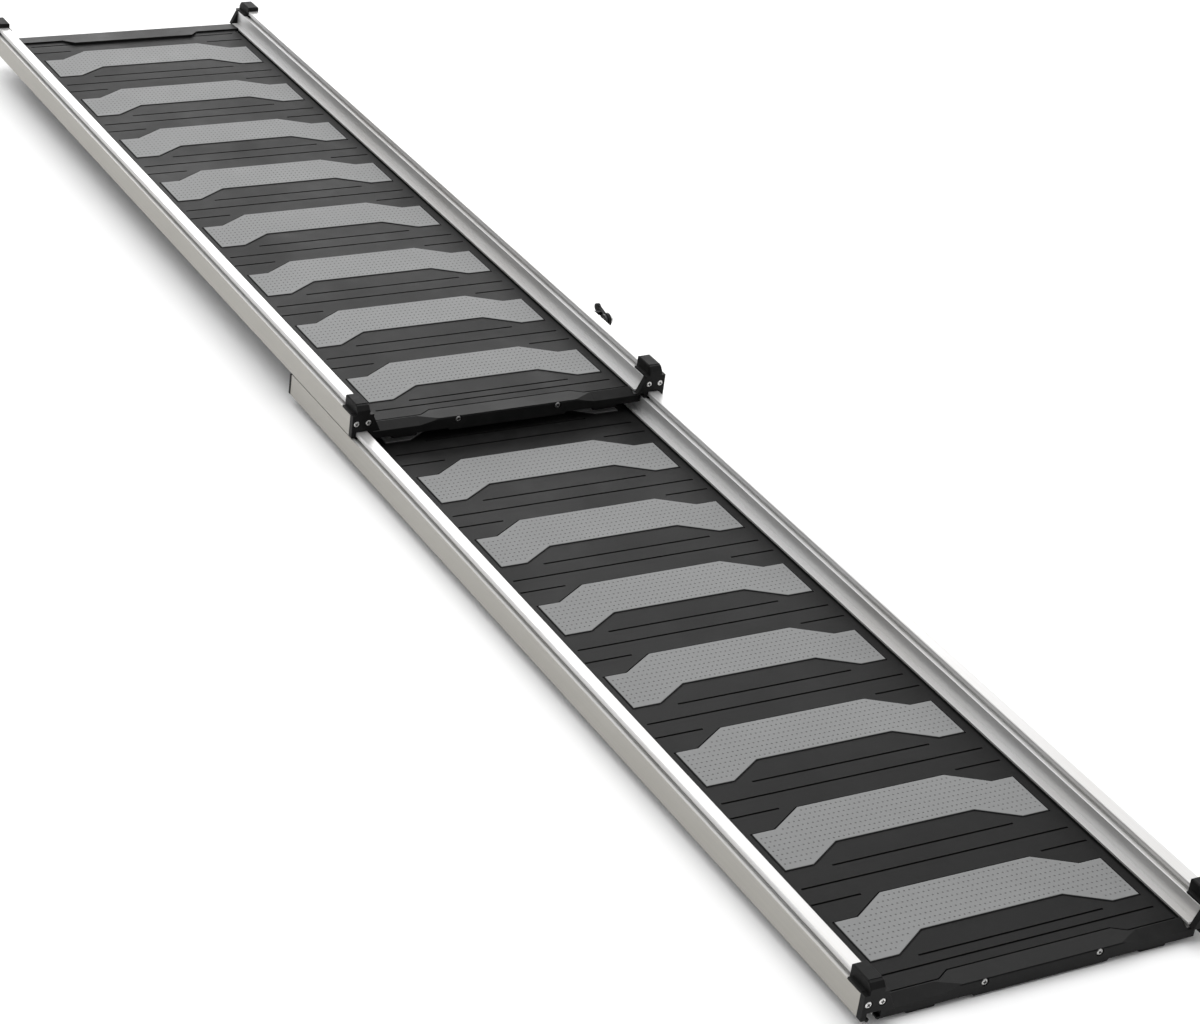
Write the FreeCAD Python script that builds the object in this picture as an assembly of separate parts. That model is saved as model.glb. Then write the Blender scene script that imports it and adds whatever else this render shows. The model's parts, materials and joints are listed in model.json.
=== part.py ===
"""Telescoping two-section dog ramp, shown extended and lying flat.

X runs across the ramp, +Y runs from the foot towards the upper end and +Z is up.
The origin is on the floor, under the middle of the extended ramp. Units are mm.
Each section is drawn in its own frame first: y from its foot end, z from its tread surface.
"""
import FreeCAD, Part
import math
import os

V = FreeCAD.Vector

# ---- one section
SECTION_LENGTH = 1203.0     # length of the aluminium rails
RAIL_CENTRE_X = 187.5       # centre line of a rail, from the centre line of the ramp
RAIL_HALF_WIDTH = 12.5
EXTENDED_SHIFT = 1047.0     # upper section's foot end from the lower section's, extended
CLOSED_SHIFT = 33.0         # the same, closed
STACK_PITCH = 26.4          # height from one section's tread to the next
FOOT_HEIGHT = 20.0          # tread of the lower section above the floor

# ---- rail profile, heights from the tread surface
WALL = 1.6
TEE_TOP = 25.3
TEE_UNDERSIDE = 20.4
TEE_HALF = 7.0
NECK_HALF = 3.5
SHOULDER = 16.2
BEAD_TOP = 17.9
BEAD_INNER = 8.0            # from the rail's centre line
CHAMBER_ROOF = 14.6
CHAMBER_FLOOR = 3.8
CHANNEL_ROOF = 2.2
LEG_TOP = -4.8
LEG_BOTTOM = -7.4
HOOK_TOP = -6.5
HOOK_BOTTOM = -9.5
HOOK_OUTER = 7.7
HOOK_INNER = 4.1
CHANNEL_HALF = 7.4
FLANGE_REACH = 8.7          # how far the deck flanges stand in from the rail
FLANGE_CUT_BACK = 2.0
UPPER_FLANGE = (-1.8, 0.2)  # underside and top
LOWER_FLANGE = (-7.0, -5.4)
PORT_OFFSET = 7.3           # screw ports each side of the rail's centre line
PORT_HEIGHT = 9.2
PORT_RADIUS = 3.9
THREAD_RADIUS = 1.9

# ---- deck panel
DECK_TOP = -1.0
DECK_SKIN = 3.0
DECK_HALF = 160.8
DECK_RIM_HALF = 172.0
RIM = (-5.2, -2.0)          # underside and top of the panel's rims
MARGIN_GROOVE = (161.4, 165.6)
MARGIN_GROOVE_FLOOR = -3.8
RIB_BOTTOM = -10.0
RIB_WIDTH = 2.2
LENGTH_RIBS = (-159.0, -80.0, 0.0, 80.0, 159.0)
FOOT_SEAM = 1.6             # gaps between the panel and the end strips
HEAD_SEAM = 0.6
LINE_WIDTH = 2.4
LINE_DEPTH = 1.6

# ---- grip inserts
INSERT_COUNT = 8
INSERT_PITCH = 142.5
FIRST_INSERT_TOP = 114.6    # upper edge of the first insert, beside the rail
INSERT_HALF = 150.0
INSERT_DEPTH = 59.4         # along the ramp
INSERT_RISE = 24.8          # the middle stretch is set this far up the ramp
UPPER_KNEES = (124.6, 84.8) # where the upper edge bends, outer and inner
LOWER_KNEES = (119.5, 79.5)
INSERT_THICKNESS = 2.2
MOAT = 1.7                  # gap round each insert in its pocket
LINE_MIDDLE = (-66.0, 103.0)        # from an insert's upper edge, half length
LINE_FULL = (-89.0, 151.5)
LINE_FULL_FIRST = -79.5
LINE_SIDE = (-113.0, 102.0, 156.0)  # from an insert's upper edge, inner end, outer end

# ---- end strips
STRIP_BOTTOM = -15.0
FOOT_STRIP_TOP = (-1.0, -1.0)  # height of the top plate at its straight edge and along its arched edge
HEAD_STRIP_TOP = (-1.0, 2.5)
STRIP_WALL = 3.0
STRIP_PLATE = 2.0
STRIP_FLOOR = 2.4
STRIP_BACK_LIP = 4.0
STRIP_HALF = 166.0
STRIP_FACE_HALF = 174.2
STRIP_FACE = (-0.8, 1.7)    # front and back of the face plate
STRIP_FACE_TOP = -2.2
STRIP_CORNER = (88.0, 112.0, 5.0, 12.0)   # starts, full depth from, depth, length along the ramp
STRIP_LIP = (77.0, 7.0, -17.5)            # half width, back, bottom of the middle lip
FOOT_STRIP = (13.0, 21.5, 105.0, 91.0)    # side depth, middle depth, arch knees
HEAD_STRIP = (25.0, 39.0, 101.0, 88.0)
STRIP_SCREW_X = 64.0
STRIP_SCREW_HEIGHT = -5.5
STRIP_SCREW_SEAT = 1.6
STRIP_SCREW_WELL = 4.1      # radius of the well round each screw's head
BOSS_RADIUS = 4.2
BOSS_TOP = -3.0
BOSS_LENGTHS = (56.0, 77.0)   # at the foot end and at the head end
BOSS_BORE = 22.0
PAD_POSITIONS = (-129.0, 129.0)
PAD_SIZE = (32.0, 9.5)      # across and along the ramp
PAD_INSET = 1.2

# ---- rail caps and bumper blocks
CAP_THICK = 7.0
CAP_THIN = 3.5
CAP_PROUD = 0.5
BLOCK_LENGTH = 25.0
BLOCK_HALF = 7.9
BLOCK_TOP = 31.5
BLOCK_FLANGE_LENGTH = 22.0
BLOCK_FLANGE_TOP = 20.3
SCREW_HEAD_RADIUS = 3.7
SCREW_HEAD_HEIGHT = 2.2
COUNTERBORE = 2.0
GUSSET = (165.5, -1.8)      # lowest corner of the web beside a thick cap

# ---- travel stops
STOP_SCREW_INSET = 12.0
STOP_HEAD = (3.5, 1.9)      # radius, height
STOP_BLOCK = (128.0, 140.0, 6.0, -0.5)    # start, end, half width, underside

# ---- latch, on the outside of the right rail at the head of the lower section
PLATE_THICK = 3.6
PLATE_RELIEF = 0.8
PIVOT_INSET = 11.0          # from the head end of the lower section
PIVOT_HEIGHT = 44.0
PIN_RADIUS = 2.5
LEVER_BORE = 2.56
HUB_RADIUS = 8.6
LEVER_THICK = 4.5
SIDE_GAP = 0.3
KNOB = (24.0, 6.0, 4.6)     # ahead of the pivot, above it, radius
ARM_HALF = (3.5, 2.8)       # at the hub and at the knob
TOOTH = (11.0, 16.0, 1.2, 5.8)            # along the ramp and up, from the pivot
EAR_RADIUS = 7.5
BRACKET_LENGTH = 44.0
BRACKET_HEIGHTS = (-4.0, 15.0)
TOOTH_TIP_X = 196.5
NOTCH = (10.2, 17.8)        # along the ramp, from the pivot
NOTCH_FLOOR = 12.4
BRACKET_SCREWS_Y = (32.0, 6.0)
BRACKET_SCREW_HEIGHT = 5.0

LENGTH_ALL = EXTENDED_SHIFT + SECTION_LENGTH
RAIL_OUTER_X = RAIL_CENTRE_X + RAIL_HALF_WIDTH


# ---------------------------------------------------------------- helpers

def box(x0, x1, y0, y1, z0, z1):
    """A box between two corners."""
    return Part.makeBox(x1 - x0, y1 - y0, z1 - z0, V(x0, y0, z0))


def prism_along_y(points, y0, y1):
    """A closed outline of (x, z) points run from y0 to y1."""
    loop = [V(x, y0, z) for x, z in points]
    loop.append(loop[0])
    return Part.Face(Part.makePolygon(loop)).extrude(V(0, y1 - y0, 0))


def prism_up(points, z0, z1):
    """A closed outline of (x, y) points run from z0 to z1."""
    loop = [V(x, y, z0) for x, y in points]
    loop.append(loop[0])
    return Part.Face(Part.makePolygon(loop)).extrude(V(0, 0, z1 - z0))


def prism_along_x(points, x0, x1):
    """A closed outline of (y, z) points run from x0 to x1."""
    loop = [V(x0, y, z) for y, z in points]
    loop.append(loop[0])
    return Part.Face(Part.makePolygon(loop)).extrude(V(x1 - x0, 0, 0))


def rod_y(radius, x, z, y0, y1):
    """A cylinder along Y."""
    return Part.makeCylinder(radius, y1 - y0, V(x, y0, z), V(0, 1, 0))


def rod_x(radius, y, z, x0, x1):
    """A cylinder along X."""
    return Part.makeCylinder(radius, x1 - x0, V(x0, y, z), V(1, 0, 0))


def mirrored(points):
    """Complete a half outline, given from bottom to top on the +x side, with its mirror image."""
    return points + [(-x, z) for x, z in reversed(points)]


def shift_x(points, dx):
    return [(x + dx, z) for x, z in points]


def flip(shape):
    """Mirror a right-hand piece to the left-hand side."""
    return shape.mirror(V(0, 0, 0), V(1, 0, 0))


def fuse(shapes):
    return shapes[0].multiFuse(shapes[1:]).removeSplitter()


def group(shapes):
    return Part.makeCompound(shapes)


def placed(shape, section):
    """Move a piece from its section's frame to the ramp's frame."""
    out = shape.copy()
    shift = EXTENDED_SHIFT if section == "upper" else 0.0
    height = FOOT_HEIGHT + (STACK_PITCH if section == "upper" else 0.0)
    out.translate(V(0, shift - LENGTH_ALL / 2.0, height))
    return out


# ---------------------------------------------------------------- rails

def rail_outline(proud=0.0):
    """Outer outline of a rail about its own centre line, with the channel that opens downwards."""
    side = RAIL_HALF_WIDTH + proud
    return mirrored([
        (HOOK_INNER, HOOK_TOP),
        (HOOK_INNER, HOOK_BOTTOM + 0.8),
        (HOOK_INNER + 0.8, HOOK_BOTTOM),
        (HOOK_OUTER - 0.8, HOOK_BOTTOM),
        (HOOK_OUTER, HOOK_BOTTOM + 0.8),
        (HOOK_OUTER, LEG_BOTTOM),
        (side - 0.5, LEG_BOTTOM),
        (side, LEG_BOTTOM + 0.5),
        (side, BEAD_TOP - 0.5),
        (side - 0.5, BEAD_TOP),
        (BEAD_INNER + 0.4, BEAD_TOP),
        (BEAD_INNER, BEAD_TOP - 0.4),
        (BEAD_INNER, SHOULDER),
        (NECK_HALF, SHOULDER),
        (NECK_HALF, TEE_UNDERSIDE),
        (TEE_HALF - 0.3, TEE_UNDERSIDE),
        (TEE_HALF, TEE_UNDERSIDE + 0.3),
        (TEE_HALF, TEE_TOP - 0.8),
        (TEE_HALF - 0.8, TEE_TOP)])


def channel_outline():
    """Wide inside of the channel, above the hooks."""
    inner = RAIL_HALF_WIDTH - WALL
    return mirrored([
        (CHANNEL_HALF, HOOK_TOP - 0.01),
        (CHANNEL_HALF, LEG_TOP),
        (inner, LEG_TOP),
        (inner, CHANNEL_ROOF)])


def chamber_outline():
    """Closed chamber of the rail and its hollow neck."""
    inner = RAIL_HALF_WIDTH - WALL
    neck = NECK_HALF - WALL
    return mirrored([
        (inner, CHAMBER_FLOOR),
        (inner, CHAMBER_ROOF),
        (neck, CHAMBER_ROOF),
        (neck, TEE_TOP - 2.0)])


def plain_rail():
    """The right rail as it is cut from the extrusion."""
    length = SECTION_LENGTH
    solid = prism_along_y(shift_x(rail_outline(), RAIL_CENTRE_X), 0, length)
    wide = prism_along_y(shift_x(channel_outline(), RAIL_CENTRE_X), -1, length + 1)
    chamber = prism_along_y(shift_x(chamber_outline(), RAIL_CENTRE_X), -1, length + 1)
    inner_face = RAIL_CENTRE_X - RAIL_HALF_WIDTH
    flanges = [box(inner_face - FLANGE_REACH, inner_face + 0.8, FLANGE_CUT_BACK,
                   length - FLANGE_CUT_BACK, low, high)
               for low, high in (UPPER_FLANGE, LOWER_FLANGE)]
    ports = [rod_y(PORT_RADIUS, RAIL_CENTRE_X + side * PORT_OFFSET, PORT_HEIGHT, 0, length)
             for side in (-1, 1)]
    hollow = solid.cut(wide).cut(chamber)
    body = fuse([hollow] + flanges + ports)
    bores = [rod_y(THREAD_RADIUS + 0.05, RAIL_CENTRE_X + side * PORT_OFFSET, PORT_HEIGHT, -1, length + 1)
             for side in (-1, 1)]
    return body.cut(bores[0]).cut(bores[1])


def lower_rail():
    """A lower rail, with the tapped hole for its stop screw."""
    hole = Part.makeCylinder(1.65, 4, V(RAIL_CENTRE_X, SECTION_LENGTH - STOP_SCREW_INSET, TEE_TOP - 3))
    return plain_rail().cut(hole)


def lower_right_rail():
    """The lower right rail also has two holes for the latch bracket's screws."""
    rail = lower_rail()
    for inset in BRACKET_SCREWS_Y:
        rail = rail.cut(rod_x(2.05, SECTION_LENGTH - inset, BRACKET_SCREW_HEIGHT,
                              RAIL_OUTER_X - WALL - 0.2, RAIL_OUTER_X + 1))
    return rail


def upper_right_rail():
    """The upper right rail has a latch notch for the extended ramp and one for the closed ramp."""
    rail = plain_rail()
    pivot_y = SECTION_LENGTH - PIVOT_INSET
    for shift in (EXTENDED_SHIFT, CLOSED_SHIFT):
        start = pivot_y - shift
        rail = rail.cut(box(RAIL_CENTRE_X + BEAD_INNER, RAIL_OUTER_X + 1, start + NOTCH[0], start + NOTCH[1],
                            NOTCH_FLOOR, BEAD_TOP + 1))
    return rail


# ---------------------------------------------------------------- deck and inserts

def insert_outline(top, grow=0.0):
    """Arch-shaped band. top is the upper edge beside the rail; grow widens the band all round."""
    low = top - INSERT_DEPTH
    slant = grow * 0.35
    right = [
        (INSERT_HALF + grow, low - grow),
        (INSERT_HALF + grow, top + grow),
        (UPPER_KNEES[0] + slant, top + grow),
        (UPPER_KNEES[1] + slant, top + INSERT_RISE + grow)]
    under = [
        (LOWER_KNEES[1] - slant, low + INSERT_RISE - grow),
        (LOWER_KNEES[0] - slant, low - grow)]
    upper = right + [(-x, y) for x, y in reversed(right)]
    lower = [(-x, y) for x, y in reversed(under)] + under
    return upper + lower


def insert_top(index):
    return FIRST_INSERT_TOP + index * INSERT_PITCH


def grip_insert(index):
    return prism_up(insert_outline(insert_top(index)), -INSERT_THICKNESS, 0)


def arch_edge(side, middle, knees):
    """One arch-shaped edge across the ramp, from -x to +x."""
    outer, inner = knees
    return [(-outer, side), (-inner, middle), (inner, middle), (outer, side)]


def deck_outline(half, foot_side, foot_middle, head_side, head_middle):
    foot = arch_edge(foot_side, foot_middle, FOOT_STRIP[2:])
    head = arch_edge(head_side, head_middle, HEAD_STRIP[2:])
    return ([(-half, foot_side)] + foot + [(half, foot_side), (half, head_side)]
            + list(reversed(head)) + [(-half, head_side)])


def deck_lines():
    """Shallow drainage lines between the inserts."""
    cuts = []
    low, high = DECK_TOP - LINE_DEPTH, DECK_TOP + 1

    def line(x0, x1, y):
        cuts.append(box(x0, x1, y - LINE_WIDTH / 2, y + LINE_WIDTH / 2, low, high))

    for index in range(INSERT_COUNT + 1):
        top = insert_top(index)
        if index < INSERT_COUNT:
            line(-LINE_MIDDLE[1], LINE_MIDDLE[1], top + LINE_MIDDLE[0])
        line(-LINE_FULL[1], LINE_FULL[1], top + (LINE_FULL[0] if index else LINE_FULL_FIRST))
        if index:
            for side in (-1, 1):
                ends = sorted((side * LINE_SIDE[1], side * LINE_SIDE[2]))
                line(ends[0], ends[1], top + LINE_SIDE[0])
    return cuts


def deck_ribs(foot, head):
    """Ribs under the deck skin, stopped short of the end strips."""
    top = DECK_TOP - DECK_SKIN + 0.5
    ribs = [box(x - RIB_WIDTH / 2, x + RIB_WIDTH / 2, foot, head, RIB_BOTTOM, top) for x in LENGTH_RIBS]
    reach = LENGTH_RIBS[-1]
    for index in range(INSERT_COUNT + 1):
        y = insert_top(index) - LINE_FULL[1] / 2 + INSERT_RISE
        if foot < y < head:
            ribs.append(box(-reach, reach, y - RIB_WIDTH / 2, y + RIB_WIDTH / 2, RIB_BOTTOM, top))
    return ribs


def deck_bosses():
    """Round bosses that take the end strips' screws."""
    parts = []
    bores = []
    length = SECTION_LENGTH
    first = STRIP_WALL + SIDE_GAP
    ends = ((first, first + BOSS_LENGTHS[0]), (length - first - BOSS_LENGTHS[1], length - first))
    for x in (-STRIP_SCREW_X, STRIP_SCREW_X):
        for start, end in ends:
            boss = rod_y(BOSS_RADIUS, x, STRIP_SCREW_HEIGHT, start, end)
            parts.append(boss.common(box(x - BOSS_RADIUS, x + BOSS_RADIUS, start, end, RIB_BOTTOM, BOSS_TOP)))
        bores.append(rod_y(THREAD_RADIUS, x, STRIP_SCREW_HEIGHT, -1, BOSS_BORE))
        bores.append(rod_y(THREAD_RADIUS, x, STRIP_SCREW_HEIGHT, length - BOSS_BORE, length + 1))
    return parts, bores


def deck_panel():
    """Moulded deck panel with pockets for the inserts; its rims slide between the rails' flanges."""
    length = SECTION_LENGTH
    foot_side, foot_middle = FOOT_STRIP[0] + FOOT_SEAM, FOOT_STRIP[1] + FOOT_SEAM
    head_side = length - HEAD_STRIP[0] - HEAD_SEAM
    head_middle = length - HEAD_STRIP[1] - HEAD_SEAM
    outline = deck_outline(DECK_HALF, foot_side, foot_middle, head_side, head_middle)
    skin = prism_up(outline, DECK_TOP - DECK_SKIN, DECK_TOP)
    rims = [box(min(side * 150, side * DECK_RIM_HALF), max(side * 150, side * DECK_RIM_HALF),
                foot_side, head_side, RIM[0], RIM[1]) for side in (-1, 1)]
    bosses, bores = deck_bosses()
    body = fuse([skin] + rims + deck_ribs(foot_middle + 2, head_middle - 2) + bosses)
    cuts = deck_lines()
    cuts += [prism_up(insert_outline(insert_top(i), MOAT), -INSERT_THICKNESS, 1) for i in range(INSERT_COUNT)]
    for side in (-1, 1):
        ends = sorted((side * MARGIN_GROOVE[0], side * MARGIN_GROOVE[1]))
        cuts.append(box(ends[0], ends[1], 0, length, MARGIN_GROOVE_FLOOR, 1))
    return body.cut(Part.makeCompound(cuts + bores)).removeSplitter()


# ---------------------------------------------------------------- end strips and feet

def strip_outline(depths, grow=0.0):
    side, middle, outer, inner = depths
    edge = arch_edge(side - grow, middle - grow, (outer, inner))
    half = STRIP_HALF - grow
    return [(half, grow), (half, side - grow)] + list(reversed(edge)) + [(-half, side - grow), (-half, grow)]


def strip_rise(depths, tops):
    """Slope of the strip's top plate."""
    return (tops[1] - tops[0]) / depths[1]


def under_plate(depths, tops, lowered=0.0):
    """Everything under the strip's sloping top plate, or under a plane that much below it."""
    back = depths[1] + 1.0
    front_top = tops[0] - lowered
    return prism_along_x([(0, STRIP_BOTTOM - 1), (0, front_top),
                          (back, front_top + strip_rise(depths, tops) * back), (back, STRIP_BOTTOM - 1)],
                         -STRIP_FACE_HALF, STRIP_FACE_HALF)


def strip_corners(depths, tops):
    """What is cut from both front corners, where the top falls away towards the rails."""
    start, full, drop, reach = STRIP_CORNER
    high = tops[1] + 6.0
    back = V(full, reach, tops[0] + strip_rise(depths, tops) * reach)
    beyond = 1.25
    front_low = back + (V(full, 0, tops[0] - drop) - back) * beyond
    front_start = back + (V(start, 0, tops[0]) - back) * beyond
    run_in = Part.Face(Part.makePolygon([back, front_start, front_low, back])).extrude(V(0, 0, high))
    level = prism_along_x([(back.y, back.z), (front_low.y, front_low.z), (front_low.y, high), (back.y, high)],
                          full, STRIP_FACE_HALF + 1)
    right = fuse([run_in, level])
    return group([right, flip(right)])


def strip_body(depths, tops):
    """Shell of a strip: sloping plate, front face, floor, low back lip and middle lip."""
    outline = strip_outline(depths)
    outer = prism_up(outline, STRIP_BOTTOM, tops[1] + 1).common(under_plate(depths, tops))
    hollow = prism_up(strip_outline(depths, STRIP_WALL), STRIP_BOTTOM - 1, tops[1])
    back = box(-STRIP_FACE_HALF, STRIP_FACE_HALF, STRIP_WALL + 0.2, depths[1] + 1,
               STRIP_BOTTOM + STRIP_BACK_LIP, tops[0] - STRIP_PLATE)
    room = hollow.common(under_plate(depths, tops, STRIP_PLATE)).fuse(back)
    front, rear = STRIP_FACE
    face = box(-STRIP_FACE_HALF, STRIP_FACE_HALF, front, rear, STRIP_BOTTOM, STRIP_FACE_TOP)
    floor = prism_up(outline, STRIP_BOTTOM, STRIP_BOTTOM + STRIP_FLOOR)
    half, lip_back, lip_bottom = STRIP_LIP
    lip = prism_along_y([(-half, STRIP_BOTTOM + 1), (-half + 3, lip_bottom), (half - 3, lip_bottom),
                         (half, STRIP_BOTTOM + 1)], front, lip_back)
    return outer, room, [face, floor, lip]


def with_screw_wells(strip):
    cuts = []
    for x in (-STRIP_SCREW_X, STRIP_SCREW_X):
        cuts.append(rod_y(THREAD_RADIUS + 0.2, x, STRIP_SCREW_HEIGHT, -2, STRIP_WALL + 2))
        cuts.append(rod_y(STRIP_SCREW_WELL, x, STRIP_SCREW_HEIGHT, -2, STRIP_SCREW_SEAT))
    return strip.cut(Part.makeCompound(cuts))


def foot_strip():
    """End moulding at the foot, with its front corners falling away."""
    outer, room, additions = strip_body(FOOT_STRIP, FOOT_STRIP_TOP)
    corners = strip_corners(FOOT_STRIP, FOOT_STRIP_TOP)
    lowered = corners.copy()
    lowered.translate(V(0, 0, -STRIP_PLATE))
    shell = outer.cut(room.cut(lowered))
    return with_screw_wells(fuse([shell] + additions).cut(corners))


def head_strip():
    """End moulding at the head, with a straight outer edge."""
    outer, room, additions = strip_body(HEAD_STRIP, HEAD_STRIP_TOP)
    return turned(with_screw_wells(fuse([outer.cut(room)] + additions)))


def rounded_pad(x, y0, y1):
    """One rubber foot: a slab with rounded corners and a chamfered tread edge."""
    half = PAD_SIZE[0] / 2
    block = box(x - half, x + half, y0, y1, -FOOT_HEIGHT, STRIP_BOTTOM)
    upright = [e for e in block.Edges if abs(e.Vertexes[0].Z - e.Vertexes[1].Z) > 1]
    block = block.makeFillet(3.0, upright)
    tread = [e for e in block.Edges if e.BoundBox.ZMax < -FOOT_HEIGHT + 0.01]
    return block.makeChamfer(0.8, tread)


def turned(shape):
    """Turn a foot-end piece round to the head end of its section."""
    out = shape.copy()
    out.rotate(V(0, SECTION_LENGTH / 2, 0), V(0, 0, 1), 180)
    return out


def feet():
    """All four feet of a section, two under each strip."""
    start = PAD_INSET
    near = [rounded_pad(x, start, start + PAD_SIZE[1]) for x in PAD_POSITIONS]
    return group(near + [turned(pad) for pad in near])


# ---------------------------------------------------------------- screws

def pan_head_screw(x, z, y, shank):
    """A pan-head screw whose head's seat is at y and whose shank runs towards +y."""
    head = rod_y(SCREW_HEAD_RADIUS, x, z, y - SCREW_HEAD_HEIGHT, y)
    rim = [e for e in head.Edges if abs(e.BoundBox.YMax - (y - SCREW_HEAD_HEIGHT)) < 0.01]
    head = head.makeFillet(1.0, rim)
    body = head.fuse(rod_y(THREAD_RADIUS - 0.1, x, z, y - 0.5, y + shank)).removeSplitter()
    arm, half = 2.3, 0.45
    top = y - SCREW_HEAD_HEIGHT
    cross = [box(x - arm, x + arm, top - 1, top + 1.3, z - half, z + half),
             box(x - half, x + half, top - 1, top + 1.3, z - arm, z + arm)]
    return body.cut(cross[0]).cut(cross[1])


def cap_screws(section):
    """The two screws of each of a section's four caps."""
    screws = []
    for side in (-1, 1):
        for port in (-1, 1):
            x = side * RAIL_CENTRE_X + port * PORT_OFFSET
            screws.append(pan_head_screw(x, PORT_HEIGHT, -CAP_THICK + COUNTERBORE, 18))
            thick = CAP_THIN if section == "lower" else CAP_THICK
            screws.append(turned(pan_head_screw(x, PORT_HEIGHT, -thick + COUNTERBORE, 18)))
    return group(screws)


def strip_screws():
    screws = []
    for x in (-STRIP_SCREW_X, STRIP_SCREW_X):
        screw = pan_head_screw(x, STRIP_SCREW_HEIGHT, STRIP_SCREW_SEAT, 17)
        screws += [screw, turned(screw)]
    return group(screws)


# ---------------------------------------------------------------- caps and blocks

def cap(thick, with_block):
    """Cap on the foot end of the right rail. The lower rail's T-head can run through it."""
    proud = CAP_PROUD
    outline = shift_x(rail_outline(proud), RAIL_CENTRE_X)
    plate = prism_along_y(outline, -thick, 0)
    if with_block:
        half = BLOCK_HALF
        crown = prism_along_x([(0, SHOULDER), (0, BLOCK_TOP - 0.6), (-3.0, BLOCK_TOP - 1.2),
                               (-thick, BLOCK_TOP - 6.0), (-thick, SHOULDER)],
                              RAIL_CENTRE_X - half, RAIL_CENTRE_X + half)
        edges = [e for e in crown.Edges if e.BoundBox.XLength < 0.01 and e.BoundBox.ZMin > BLOCK_TOP - 7]
        crown = crown.makeChamfer(0.9, edges)
        skirt = box(RAIL_CENTRE_X - RAIL_HALF_WIDTH - proud, RAIL_CENTRE_X + RAIL_HALF_WIDTH + proud,
                    -thick, 0, BEAD_TOP - 2, BLOCK_FLANGE_TOP - 0.4)
        inner = RAIL_CENTRE_X - RAIL_HALF_WIDTH
        web = prism_along_y([(inner, BEAD_TOP), GUSSET, (inner, GUSSET[1])], -thick, -0.2)
        plate = fuse([plate, crown, skirt, web])
    room = prism_along_y(shift_x(mirrored([(CHANNEL_HALF, HOOK_TOP), (CHANNEL_HALF, 0.0)]), RAIL_CENTRE_X),
                         -thick - 1, 1)
    plate = plate.cut(room)
    for port in (-1, 1):
        x = RAIL_CENTRE_X + port * PORT_OFFSET
        plate = plate.cut(rod_y(THREAD_RADIUS + 0.2, x, PORT_HEIGHT, -thick - 1, 1))
        plate = plate.cut(rod_y(SCREW_HEAD_RADIUS + 0.2, x, PORT_HEIGHT, -thick - 1, -thick + COUNTERBORE))
    return plate


def bumper_block():
    """Rubber block over the end of the right rail's T-head, gripping it underneath."""
    half = BLOCK_HALF
    length = BLOCK_LENGTH
    crown = box(RAIL_CENTRE_X - half, RAIL_CENTRE_X + half, 0, length, SHOULDER, BLOCK_TOP)
    top = [e for e in crown.Edges if e.BoundBox.ZMin > BLOCK_TOP - 0.01 and e.BoundBox.YMax > 0.01]
    crown = crown.makeChamfer(1.1, top)
    wings = box(RAIL_CENTRE_X - RAIL_HALF_WIDTH, RAIL_CENTRE_X + RAIL_HALF_WIDTH, 0, BLOCK_FLANGE_LENGTH,
                BEAD_TOP, BLOCK_FLANGE_TOP)
    block = fuse([crown, wings])
    core = prism_along_y(shift_x(rail_outline(), RAIL_CENTRE_X), -1, length + 1)
    return block.cut(core)


# ---------------------------------------------------------------- travel stops

def stop_screws():
    """A low-headed screw in each lower rail's T-head, near its head end."""
    screws = []
    radius, height = STOP_HEAD
    for side in (-1, 1):
        base = V(side * RAIL_CENTRE_X, SECTION_LENGTH - STOP_SCREW_INSET, TEE_TOP)
        head = Part.makeCylinder(radius, height, base)
        shank = Part.makeCylinder(1.55, 3.2, base - V(0, 0, 3.0))
        socket = Part.makeCylinder(1.2, 1.0, base + V(0, 0, height - 0.9))
        screws.append(head.fuse(shank).removeSplitter().cut(socket))
    return group(screws)


def stop_block():
    """Block fixed to the roof of the right upper rail's channel."""
    start, end, half, low = STOP_BLOCK
    block = box(RAIL_CENTRE_X - half, RAIL_CENTRE_X + half, start, end, low, CHANNEL_ROOF)
    ends = [e for e in block.Edges if e.BoundBox.YLength < 0.01 and e.BoundBox.ZMax < low + 0.01]
    return block.makeChamfer(0.6, ends)


# ---------------------------------------------------------------- latch

def latch_bracket():
    """Plate screwed to the rail, with an ear that carries the lever's pin."""
    head = SECTION_LENGTH
    pivot_y = head - PIVOT_INSET
    ear = EAR_RADIUS
    low, high = BRACKET_HEIGHTS
    plate = prism_along_x([
        (head - BRACKET_LENGTH, low), (head - 2.5, low), (head - 1, low + 1.5), (head - 1, high + 3),
        (pivot_y + ear, PIVOT_HEIGHT - 8), (pivot_y + ear, PIVOT_HEIGHT),
        (pivot_y - ear, PIVOT_HEIGHT), (pivot_y - ear, high + 7), (head - 30, high),
        (head - BRACKET_LENGTH, high)],
        RAIL_OUTER_X, RAIL_OUTER_X + PLATE_THICK)
    disc = rod_x(ear, pivot_y, PIVOT_HEIGHT, RAIL_OUTER_X, RAIL_OUTER_X + PLATE_THICK)
    rib = box(RAIL_OUTER_X + PLATE_THICK - 0.5, RAIL_OUTER_X + PLATE_THICK + 2.4,
              pivot_y - ear, pivot_y - ear + 3, 10, PIVOT_HEIGHT - HUB_RADIUS - 3)
    body = fuse([plate, disc, rib])
    relief = box(RAIL_OUTER_X - 1, RAIL_OUTER_X + PLATE_RELIEF, head - 60, head + 10,
                 BEAD_TOP + 0.3, PIVOT_HEIGHT + 20)
    body = body.cut(relief).cut(rod_x(PIN_RADIUS, pivot_y, PIVOT_HEIGHT, RAIL_OUTER_X - 1, RAIL_OUTER_X + 9))
    for inset in BRACKET_SCREWS_Y:
        body = body.cut(rod_x(2.05, head - inset, BRACKET_SCREW_HEIGHT, RAIL_OUTER_X - 1, RAIL_OUTER_X + 9))
    return body


def lever_inner_x():
    return RAIL_OUTER_X + PLATE_THICK + SIDE_GAP


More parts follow.
